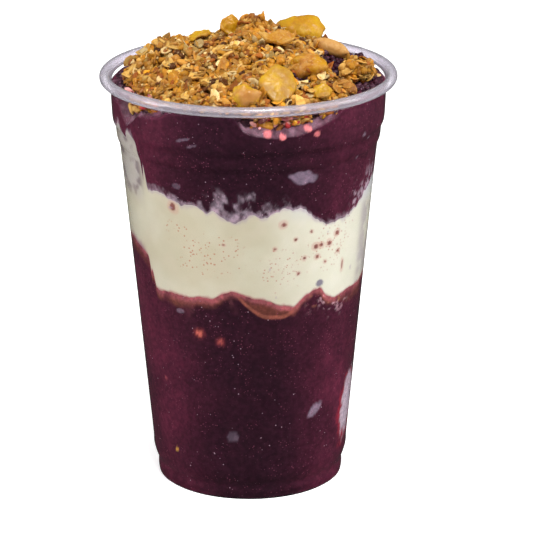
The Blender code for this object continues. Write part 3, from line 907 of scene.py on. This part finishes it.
def scatter(shapes, places, turns, sizes, colours, rng):
    """Copies of the shapes joined into one set of points, quads, triangles and colours."""
    points, quads, triangles, tints = [], [], [], []
    start = 0
    pick = rng.integers(0, len(shapes), len(places))
    for k, (p, q, t) in enumerate(shapes):
        chosen = np.flatnonzero(pick == k)
        if not len(chosen):
            continue
        moved = np.einsum("nij,nvj->nvi", turns[chosen], p[None] * sizes[chosen][:, None])
        moved += places[chosen][:, None]
        offset = start + np.arange(len(chosen)) * len(p)
        points.append(moved.reshape(-1, 3))
        quads.append((q[None] + offset[:, None, None]).reshape(-1, 4))
        triangles.append((t[None] + offset[:, None, None]).reshape(-1, 3))
        tints.append(np.repeat(colours[chosen], len(p), axis=0))
        start += len(chosen) * len(p)
    return [np.concatenate(part) for part in (points, quads, triangles, tints)]


def palette(choices, weights, count, rng, spread=0.27):
    """Colours drawn from a palette, each a little lighter or darker."""
    weights = np.array(weights) / sum(weights)
    picked = np.array(choices)[rng.choice(len(choices), count, p=weights)]
    return picked * np.exp(spread * rng.standard_normal(count))[:, None]


# ---------------------------------------------------------------- granola heap

def heap_edge(azimuth):
    """How far out the granola reaches at an azimuth."""
    bites = sum(depth * np.exp(-((turn_between(azimuth, at) / width) ** 2))
                for at, width, depth in HEAP_BITES)
    return HEAP_EDGE - bites


def heap_height(points):
    """The granola's height over points (x, y), about as the CAD heap, with its own lumps."""
    radius = np.hypot(points[:, 0], points[:, 1])
    share = np.clip(radius / heap_edge(azimuth_of(points)), 0, 1)
    rise = (1 - share**HEAP_POWER) ** HEAP_FULLNESS
    flat = points * (1, 1, 0)
    lumps = 1.1 * fbm(flat, 10.0, 2, 91) + 1.3 * noise(flat, 4.6, 93)
    low = ACAI_TOP + 1.0 + HEAP_RIM
    for x, y, reach, height in HEAP_MOUNDS:
        mound = height * np.exp(-((points[:, 0] - x) ** 2 + (points[:, 1] - y) ** 2) / reach**2)
        lumps = lumps + mound * np.clip(rise * MOUND_STEEPNESS, 0, 1)
    fading = LUMP_AT_EDGE + (1 - LUMP_AT_EDGE) * rise**0.3
    return low + (HEAP_CREST - low) * rise + lumps * fading - 0.8 * bare(points)


def bare(points):
    """1 where the acai shows through the granola."""
    return max_of(
        ramp(np.hypot(points[:, 0] - x, points[:, 1] - y), r * 1.15, r * 0.75) for x, y, r in BARE
    )


def max_of(parts):
    return np.maximum.reduce(list(parts))


def heap_normals(points, step=1.2):
    """Directions out of the heap's surface."""
    slope = [(heap_height(points + d) - heap_height(points - d)) / (2 * step)
             for d in (np.array((step, 0, 0)), np.array((0, step, 0)))]
    normals = np.stack([-slope[0], -slope[1], np.ones(len(points))], 1)
    return normals / np.linalg.norm(normals, axis=1)[:, None]


def heap_places(count, rng, reach=1.0):
    """Random points over the heap out to reach times its edge, clear of bare spots and toppings."""
    azimuth = rng.uniform(-180, 180, count)
    radius = np.sqrt(rng.random(count)) * heap_edge(azimuth) * reach
    points = heading(azimuth) * radius[:, None]
    points[:, 2] = heap_height(points)
    keep = bare(points) < 0.5
    for node, share in TOPPINGS:
        centre, size = node_box(node)
        away = np.hypot((points[:, 0] - centre[0]) / size[0], (points[:, 1] - centre[1]) / size[1])
        keep &= (away > share / 2) | (points[:, 2] < centre[2] - size[2] / 2 - 1.0)
    return points[keep]


def make_core(material):
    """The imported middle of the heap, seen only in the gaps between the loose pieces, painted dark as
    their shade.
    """
    azimuth = evenly(CORE_SEGMENTS)
    rings = []
    for share in (0.3, 0.7, 0.93):
        ring = heading(azimuth) * (heap_edge(azimuth) * share)[:, None]
        ring[:, 2] = ACAI_TOP + 0.4
        rings.append(ring)
    for share in np.linspace(0.97, 0.04, 56):
        ring = heading(azimuth) * ((heap_edge(azimuth) - 1.0) * share)[:, None]
        crumb = 0.8 * np.abs(fbm(ring * (1, 1, 0), 2.4, 3, 95))
        height = heap_height(ring) - CORE_DEPTH + 2.0 * bare(ring) + crumb
        ring[:, 2] = np.maximum(height, ACAI_TOP + 0.6)
        rings.append(ring)
    points, quads, triangles = skin(rings, (0, 0, ACAI_TOP + 0.4), (0, 0, HEAP_CREST - 2.6))
    # Painted shade: the core darkened all over, as deep in the gaps, turning to acai under bare spots.
    shade = 0.12 + 0.3 * ramp(fbm(points, 2.6, 3, 97), -0.5, 0.7)
    tint = mix(mix(BROWN, RUSSET, shade) * shade[:, None], ACAI_DARK, bare(points))
    core = make_piece("granola_core", points, quads, triangles, tint)
    finish_piece(core, material, "granola", "granola_heap")


def inside_cup(points, quads, triangles, tints, per_piece):
    """Drops whole small pieces that would touch the wall or stand above the model's box."""
    blocks = points.reshape(-1, per_piece, 3)
    radius = np.hypot(blocks[..., 0], blocks[..., 1])
    in_cup = blocks[..., 2] < CUP_HEIGHT + 0.5
    room = np.where(in_cup, inner_radius(blocks[..., 2]) - 0.15, RIM_RADIUS - 4.2)
    keep = ((radius < room) & (blocks[..., 2] < TOP_OF_ALL)).all(axis=1)
    kept_points = np.repeat(keep, per_piece)
    index = np.cumsum(kept_points) - 1
    quads = index[quads[kept_points[quads[:, 0]]]]
    triangles = index[triangles[kept_points[triangles[:, 0]]]]
    return points[kept_points], quads, triangles, tints[kept_points]


def make_bits(name, shapes, places, turns, sizes, colours, rng, material, slot="granola"):
    """One piece of many small copies of the shapes, without those outside the cup or the box."""
    parts = scatter(shapes, places, turns, sizes, colours, rng)
    finish_piece(make_piece(name, *inside_cup(*parts, len(shapes[0][0]))), material, slot)


def skirt_places(count, rng):
    """Random points on the heap's steep outer side."""
    azimuth = rng.uniform(-180, 180, count)
    radius = heap_edge(azimuth) + rng.uniform(-2.2, 0.2, count)
    points = heading(azimuth) * radius[:, None]
    top = heap_height(points)
    points[:, 2] = ACAI_TOP + 1.0 + (top - ACAI_TOP - 1.0) * rng.random(count)
    return points[bare(points) < 0.5]


# Kinds of granola, as name, shape, variants, count, range of length, lean off the surface in degrees,
# range of lift off it, and how much of each colour.
GRANOLA_COLOURS = (STRAW, OAT_PALE, TOAST, GOLDEN, RUSSET, BROWN)
GRANOLA_KINDS = (
    ("granola_oats", grain, 10, 1850, (2.8, 5.0), 60, (-1.9, 1.1), (3.4, 1.6, 4, 4.4, 2.0, 0.8)),
    ("granola_crisps", nugget, 8, 1200, (1.6, 3.4), 80, (-1.7, 1.0), (2.4, 1.0, 4, 4.6, 2.4, 0.8)),
    ("granola_shards", shard, 9, 1300, (2.0, 4.2), 75, (-1.6, 1.1), (2.6, 1.2, 4, 4.6, 2.4, 0.8)),
    ("granola_flakes", flake, 9, 520, (3.2, 6.0), 50, (-0.2, 1.2), (4, 2.6, 3, 2, 1, 0.1)),
    ("granola_slivers", sliver, 7, 240, (2.6, 4.8), 45, (0.1, 1.3), (4, 4, 3, 1, 1, 0.1)),
)


def one_size(low, high, count, rng):
    """Random sizes, each the same in all three directions."""
    return rng.uniform(low, high, (count, 1)) * np.ones((1, 3))


def make_granola(material):
    for number, (name, shape, variants, count, length, lean, lift, weights) in enumerate(GRANOLA_KINDS):
        rng = np.random.default_rng(100 + number)
        places = np.concatenate([heap_places(count, rng, 0.975), skirt_places(count // 5, rng)])
        count = len(places)
        normals = heap_normals(places)
        places += normals * rng.uniform(*lift, count)[:, None]
        sizes = rng.uniform(*length, count)[:, None] * rng.uniform(0.8, 1.2, (count, 3))
        shapes = [shape(200 + 10 * number + v) for v in range(variants)]
        make_bits(name, shapes, places, rotations(normals, lean, rng), sizes,
                  palette(GRANOLA_COLOURS, weights, count, rng), rng, material)


def make_crumbs(material):
    """Fine crumbs of granola all over the heap."""
    rng = np.random.default_rng(140)
    places = heap_places(CRUMB_COUNT, rng, 1.03)
    count = len(places)
    places[:, 2] += rng.uniform(-2.0, 0.6, count)
    shapes = [nugget(260 + v, 6, 4, 0.4) for v in range(5)]
    make_bits("granola_crumbs", shapes, places, rotations(heap_normals(places), 80, rng),
              one_size(0.6, 1.7, count, rng),
              palette(GRANOLA_COLOURS, (3, 2, 4, 4, 2, 1), count, rng), rng, material)


def make_wall_granola(material, top):
    """Granola and reddish crumbs pressed against the wall, in the hollow under the lip."""
    rng = np.random.default_rng(160)
    azimuth = np.concatenate([rng.uniform(2, 40, 120), rng.uniform(-68, -44, 60)])
    count = len(azimuth)
    low = np.interp(azimuth, AZIMUTH, top, period=360) + 0.4
    height = np.maximum(low, rng.uniform(131.5, 137.4, count))
    depth = rng.uniform(1.4, 3.6, count) + 0.25 * (136.5 - height)
    places = heading(azimuth) * (inner_radius(height) - depth)[:, None]
    places[:, 2] = height
    colours = palette((STRAW, GOLDEN, RUSSET, STAIN_PINK, BERRY_RED, BERRY_PINK),
                      (4, 3, 2, 2, 1.4, 1.6), count, rng)
    shapes = [grain(290 + v) for v in range(3)] + [grain(295 + v) for v in range(3)]
    out = -heading(azimuth) + (0, 0, 0.5)
    turns = rotations(out / np.linalg.norm(out, axis=1)[:, None], 60, rng)
    make_bits("granola_by_wall", shapes, places, turns, one_size(2.2, 5.0, count, rng), colours, rng,
              material)


def make_ice_crumbs(acai, top):
    """Loose icy crumbs on the bare acai round the granola and in its bare spots."""
    rng = np.random.default_rng(150)
    azimuth = rng.uniform(-180, 180, ICE_CRUMB_COUNT)
    inner, outer = heap_edge(azimuth) - 2.0, inner_radius(134.0) - 1.2
    radius = inner + (outer - inner) * rng.random(ICE_CRUMB_COUNT) ** 0.8
    places = heading(azimuth) * radius[:, None]
    share = radius / inner_radius(136.0)
    edge = np.interp(azimuth, AZIMUTH, top, period=360)
    places[:, 2] = ACAI_TOP + ACAI_DOME * (1 - share**2) + (edge - ACAI_TOP) * share**6 + 0.5
    clear = (edge > 133.4) | (radius < 37.0)
    places = places[clear]
    for x, y, r in BARE:
        dense = int(ICE_CRUMBS_PER_AREA * r * r)
        spin, reach = rng.uniform(-180, 180, dense), 1.1 * r * np.sqrt(rng.random(dense))
        spot = heading(spin) * reach[:, None] + (x, y, 0)
        spot[:, 2] = heap_height(spot) + rng.uniform(-1.6, 0.9, dense)
        places = np.concatenate([places, spot])
    count = len(places)
    shapes = [nugget(280 + v, 7, 4, 0.45) for v in range(6)]
    frost = rng.random(count) ** 4
    colours = mix(mix(ACAI_DARK, ACAI_WARM, 0.35 * rng.random(count)), ACAI_FROST, 0.35 * frost)
    turns = rotations(np.tile((0.0, 0, 1), (count, 1)), 85, rng)
    make_bits("acai_crumbs", shapes, places, turns, one_size(0.8, 2.8, count, rng), colours, rng,
              acai, "acai")


# ---------------------------------------------------------------- large toppings

def node_box(node):
    """Centre and size of a CAD node in mm."""
    low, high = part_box(node)
    return np.array((low + high) / 2) / MM, np.array(high - low) / MM


def turned(points, turn):
    """Points turned by Euler angles in degrees."""
    x, y, z = (Matrix.Rotation(math.radians(a), 3, axis) for a, axis in zip(turn, "XYZ"))
    return np.asarray(points) @ np.array(z @ y @ x).T


def angular(azimuth, seed):
    """Distances out to an uneven outline of straight cut sides, about 1."""
    rng = np.random.default_rng(seed)
    sides = rng.integers(5, 8)
    facing = (np.arange(sides) + rng.uniform(-0.25, 0.25, sides)) * 360.0 / sides
    distance = rng.uniform(0.80, 0.98, sides)
    away = np.radians(turn_between(azimuth[:, None], facing[None]))
    reach = distance / np.maximum(np.cos(away), 0.2)
    soft = -np.log(np.exp(-14 * reach).sum(axis=1)) / 14
    return soft / soft.mean()


def chip_shape(size, bend, fold, seed, taper=0.0, segments=48, rows=9):
    """A dried fruit chip: a puckered disc with a thick uneven rim, bent, folded, and narrower
    towards -Y by its taper."""
    long, wide, thick = size
    azimuth = evenly(segments)
    round_ = heading(azimuth)
    outline = angular(azimuth, seed) * (1 + 0.10 * fbm(round_ * 6 + seed * 10, 3.0, 3, seed))

    def ring(share, side, swell):
        p = round_ * (share * outline)[:, None] * (long / 2, wide / 2, 0)
        p[:, 0] *= 1 + taper * np.minimum(2 * p[:, 1] / wide, 0)
        bent = bend * (2 * p[:, 0] / long) ** 2 + fold * np.abs(2 * p[:, 1] / wide) ** 1.5
        pucker = 1.1 * fbm(p * (1, 1, 0) + seed, 4.2, 3, seed + 1) * share
        plump = 1 + 0.5 * noise(p * (1, 1, 0), 3.0, seed + 4)
        p[:, 2] = bent + pucker + side * thick / 2 * swell * plump
        p[:, 2] += side * 0.4 * fbm(p, 1.5, 3, seed + 2)
        return p

    under = [ring(s, -1, 1 - 0.25 * s) for s in np.linspace(0.12, 0.94, rows)]
    over = [ring(s, 1, 1 - 0.25 * s) for s in np.linspace(0.94, 0.12, rows)]
    rim = [ring(0.985, -1, 0.45), ring(1.0, 0, 0.0), ring(0.985, 1, 0.45)]
    rings = under + rim + over
    return skin(rings, rings[0].mean(axis=0), rings[-1].mean(axis=0))


def nut_shape(size, rough, seed, segments=36, rows=22, groove=0.0):
    """A smooth nut or a soft piece of fruit."""
    azimuth = evenly(segments)
    direction = heading(azimuth)
    rings = []
    for row in range(1, rows):
        tilt = math.pi * row / rows
        spot = direction * math.sin(tilt) - np.array((0, 0, math.cos(tilt)))
        swell = 1 + rough * fbm(spot * 3 + seed, 2.2, 3, seed)
        swell -= groove * np.exp(-((spot[:, 1] / 0.14) ** 2)) * (spot[:, 2] > 0)
        rings.append(spot * swell[:, None] * np.array(size) / 2)
    low, high = np.array((0, 0, -size[2] / 2)), np.array((0, 0, size[2] / 2))
    return skin(rings, low, high * (1 - groove))


def add_topping(node, shape, turn, base, patch, seed, material, slot, lift=0.0):
    """Puts a shape where the CAD topping lies and lets it stand for that topping."""
    points, quads, triangles = shape
    centre, _ = node_box(node)
    points = turned(points, turn) + centre + (0, 0, lift)
    points[:, 2] -= max(points[:, 2].max() - TOP_OF_ALL, 0)
    colours = patchy(points - centre, base, patch, seed)
    finish_piece(make_piece(node + "_look", points, quads, triangles, colours), material, slot, node)


def patchy(points, base, patch, seed):
    """Colours for points: one colour with soft patches of another."""
    return mix(base, patch, ramp(fbm(points + seed, 4.5, 3, seed), -0.35, 0.6))


# What is stuck on a cluster, as shape, share of the count, and range of length.
CLUSTER_BITS = ((nugget, 0.5, (1.6, 3.2)), (flake, 0.32, (2.6, 4.4)), (sliver, 0.18, (2.4, 4.0)))


def cluster_parts(centre, size, count, seed, colours, weights, heart, heart_tint):
    """A baked cluster: a lumpy heart with crisps, flakes and slivers stuck all over it."""
    rng = np.random.default_rng(seed)
    points, quads, triangles = nut_shape(np.array(size) * heart, 0.24, seed, 40, 24)
    tint = patchy(points, *heart_tint, seed)
    parts = [(points + centre, quads, triangles, tint)]
    for shape, share, length in CLUSTER_BITS:
        n = int(count * share)
        out = rng.standard_normal((n, 3))
        out /= np.linalg.norm(out, axis=1)[:, None]
        places = centre + out * np.array(size) / 2 * rng.uniform(0.68, 0.92, (n, 1))
        parts.append(scatter([shape(seed + v) for v in range(5)], places, rotations(out, 50, rng),
                             rng.uniform(*length, (n, 1)) * rng.uniform(0.85, 1.15, (n, 3)),
                             palette(colours, weights, n, rng), rng))
    start, joined = 0, [[], [], [], []]
    for p, q, t, c in parts:
        for bag, part in zip(joined, (p, q + start, t + start, c)):
            bag.append(part)
        start += len(p)
    return [np.concatenate(bag) for bag in joined]


def make_cluster(node, count, seed, material, slot, colours, weights, grow, heart=0.74,
                 heart_tint=(RUSSET, GOLDEN)):
    """A cluster where the CAD one lies, grow times its size, with a heart of the given share."""
    centre, size = node_box(node)
    points, quads, triangles, tint = cluster_parts(
        centre, size * grow, count, seed, colours, weights, heart, heart_tint)
    points[:, 2] -= max(points[:, 2].max() - TOP_OF_ALL, 0)
    finish_piece(make_piece(node + "_look", points, quads, triangles, tint), material, slot, node)


AMBER_CHIP, PALE_CHIP = (CHIP_YELLOW, CHIP_AMBER, 5), (CHIP_PALE, CHIP_YELLOW, 9)
# Fruit chips, as node, size, bend, fold, seed, turn, (colour, patches, their seed), taper and lift.
CHIPS = (
    ("chip_folded", (15.2, 12.6, 2.8), -2.4, -3.4, 11, (44, 6, -12), AMBER_CHIP, 0.0, 0.0),
    ("chip_front", (13.4, 13.4, 2.4), -1.6, -0.8, 13, (46, 4, 14), (CHIP_YELLOW, CHIP_PALE, 7), 0.5, 0.6),
    ("chip_pale", (6.2, 5.8, 1.6), -0.5, 0.2, 15, (38, 8, -14), PALE_CHIP, 0.0, 0.0),
    ("chip_standing", (6.6, 6.8, 1.8), -0.8, -0.5, 17, (66, 0, 20), AMBER_CHIP, 0.0, 0.0),
    ("chip_flat", (7.2, 6.6, 1.6), -0.4, 0.3, 19, (4, -16, 0), PALE_CHIP, 0.0, 0.0),
)


def make_toppings(granola, glazed):
    fruit = fruit_material()
    nut = baked_material("toasted_nut", (0.86, 0.72, 0.55), 0.38, 0.12)
    for node, size, bend, fold, seed, turn, colours, taper, lift in CHIPS:
        shape = chip_shape(size, bend, fold, seed, taper)
        add_topping(node, shape, turn, *colours, fruit, "fruit_chip", lift)
    add_topping("flake_curled", chip_shape((12.0, 6.8, 1.3), 2.0, 1.4, 21), (14, 8, 20),
                STRAW, GOLDEN, 11, nut, "nut")
    add_topping("nut_long", nut_shape((12.0, 6.0, 5.2), 0.10, 23), (0, 22, -6),
                NUT_TAN, STRAW, 13, nut, "nut")
    add_topping("nut_brown", nut_shape((7.6, 4.6, 4.0), 0.14, 25, groove=0.3), (24, 30, 28),
                NUT_BROWN, TOAST, 15, nut, "nut")
    add_topping("fruit_piece", nut_shape((9.0, 7.0, 7.0), 0.34, 27), (24, 0, 0),
                CHIP_YELLOW, CHIP_PINK, 17, fruit, "fruit_chip")
    warm = (STRAW, TOAST, GOLDEN, RUSSET)
    make_cluster("cluster_glazed", 34, 301, glazed, "glazed_cluster", warm, (1, 3, 4, 2), 1.08, 0.98,
                 (CHIP_PINK, CHIP_AMBER))
    make_cluster("cluster_top", 46, 321, granola, "granola", warm, (3, 4, 2, 1), 1.1)
    make_cluster("cluster_right", 110, 341, granola, "granola", warm, (5, 2, 5, 1), 1.1, 0.78,
                 (STRAW, GOLDEN))


# ---------------------------------------------------------------- stage, light and camera

def mirror_switch(tree, seen, mirrored, target):
    """Joins one shader for what is seen or lit directly, and another for what gloss mirrors."""
    path = tree.nodes.new("ShaderNodeLightPath")
    after_gloss = tree.nodes.new("ShaderNodeMath")
    after_gloss.operation = "GREATER_THAN"
    after_gloss.inputs[1].default_value = 0.5
    blend = tree.nodes.new("ShaderNodeMixShader")
    tree.links.new(path.outputs["Glossy Depth"], after_gloss.inputs[0])
    tree.links.new(after_gloss.outputs[0], blend.inputs[0])
    tree.links.new(seen, blend.inputs[1])
    tree.links.new(mirrored, blend.inputs[2])
    tree.links.new(blend.outputs[0], target)


def lifted_when_seen(tree, shader, strength):
    """The floor's shader with some white added, only for the camera, as on a bright studio sweep."""
    path = tree.nodes.new("ShaderNodeLightPath")
    scale = tree.nodes.new("ShaderNodeMath")
    scale.operation = "MULTIPLY"
    scale.inputs[1].default_value = strength
    direct = tree.nodes.new("ShaderNodeMath")
    direct.operation = "MAXIMUM"
    tree.links.new(path.outputs["Is Camera Ray"], direct.inputs[0])
    tree.links.new(path.outputs["Is Transmission Ray"], direct.inputs[1])
    tree.links.new(direct.outputs[0], scale.inputs[0])
    glow = tree.nodes.new("ShaderNodeEmission")
    tree.links.new(scale.outputs[0], glow.inputs["Strength"])
    both = tree.nodes.new("ShaderNodeAddShader")
    tree.links.new(shader, both.inputs[0])
    tree.links.new(glow.outputs[0], both.inputs[1])
    return both.outputs[0]


def make_stage():
    mesh = bpy.data.meshes.new("studio_floor")
    half = 6.0
    corners = [(-half, -half, 0), (half, -half, 0), (half, half, 0), (-half, half, 0)]
    mesh.from_pydata(corners, [], [(0, 1, 2, 3)])
    floor = bpy.data.objects.new("studio_floor", mesh)
    bpy.context.scene.collection.objects.link(floor)
    material = bpy.data.materials.new("pale_floor")
    material.use_nodes = True
    shader = material.node_tree.nodes["Principled BSDF"]
    shader.inputs["Base Color"].default_value = (0.93, 0.93, 0.93, 1)
    shader.inputs["Roughness"].default_value = 0.9
    shader.inputs["Specular IOR Level"].default_value = 0.0
    dim = material.node_tree.nodes.new("ShaderNodeEmission")
    dim.inputs["Strength"].default_value = 0.03
    output = material.node_tree.nodes["Material Output"].inputs["Surface"]
    seen = lifted_when_seen(material.node_tree, shader.outputs[0], 0.5)
    mirror_switch(material.node_tree, seen, dim.outputs[0], output)
    floor.data.materials.append(material)


def make_world(light, mirrored):
    """A pale studio all round. What gloss mirrors of it is darker, as between soft boxes."""
    world = bpy.data.worlds.new("studio")
    bpy.context.scene.world = world
    world.use_nodes = True
    tree = world.node_tree
    plain = tree.nodes["Background"]
    plain.inputs["Color"].default_value = (1, 1, 1, 1)
    plain.inputs["Strength"].default_value = light
    dark = tree.nodes.new("ShaderNodeBackground")
    dark.inputs["Color"].default_value = (1, 1, 1, 1)
    dark.inputs["Strength"].default_value = mirrored
    surface = tree.nodes["World Output"].inputs["Surface"]
    mirror_switch(tree, plain.outputs[0], dark.outputs[0], surface)


# Lamps, as name, place, width and height in metres, and power in watts.
LAMPS = (
    ("key_box", (0.15, -0.55, 1.15), 0.35, 0.35, 11.0),
    ("left_box", (-0.9, -0.25, 0.35), 0.35, 0.8, 3.5),
    ("right_box", (0.9, -0.1, 0.35), 0.35, 0.8, 3.2),
)
LAMP_AIM = (0, 0, 0.08)


def make_lamp(name, place, width, height, power):
    data = bpy.data.lights.new(name, "AREA")
    data.shape = "RECTANGLE"
    data.size, data.size_y = width, height
    data.energy = power
    data.color = (1, 1, 1)
    lamp = bpy.data.objects.new(name, data)
    lamp.location = place
    lamp.rotation_euler = (Vector(LAMP_AIM) - Vector(place)).to_track_quat("-Z", "Y").to_euler()
    bpy.context.scene.collection.objects.link(lamp)


def make_camera():
    """A long lens a metre off, looking down at the cup's shoulder."""
    lens, distance, height = 212.2, 1.004, 0.4034
    pitch, yaw, roll = 0.3194, 0.0061, -0.0027
    level = math.cos(pitch)
    forward = Vector((math.sin(yaw) * level, math.cos(yaw) * level, -math.sin(pitch)))
    right = Vector((math.cos(yaw), -math.sin(yaw), 0.0))
    up = right.cross(forward)
    along, off = math.cos(roll), math.sin(roll)
    right, up = right * along + up * off, up * along - right * off
    data = bpy.data.cameras.new("camera")
    data.lens, data.sensor_width = lens, 36.0
    data.clip_start, data.clip_end = 0.05, 50.0
    camera = bpy.data.objects.new("camera", data)
    turn = Matrix((right, up, -forward)).transposed().to_4x4()
    camera.matrix_world = Matrix.Translation((0, -distance, height)) @ turn
    bpy.context.scene.collection.objects.link(camera)
    bpy.context.scene.camera = camera


make_camera()
make_stage()
make_world(light=0.6, mirrored=0.06)
for lamp_row in LAMPS:
    make_lamp(*lamp_row)
bpy.context.scene.view_settings.view_transform = "Standard"

make_cup()
make_lip()
top_line = make_fillings()
icy_acai = acai_material("acai_ice", 0.25, 0.12)
granola = baked_material("toasted_granola", (0.80, 0.62, 0.42), 0.45, 0.24)
glazed = baked_material("glazed_granola", (0.80, 0.58, 0.36), 0.28, 0.12)
make_core(baked_material("granola_shadow", (0.80, 0.62, 0.42), 0.6, 0.14, dusting=0.0))
make_granola(granola)
make_crumbs(granola)
make_wall_granola(granola, top_line)
make_ice_crumbs(icy_acai, top_line)
make_toppings(granola, glazed)
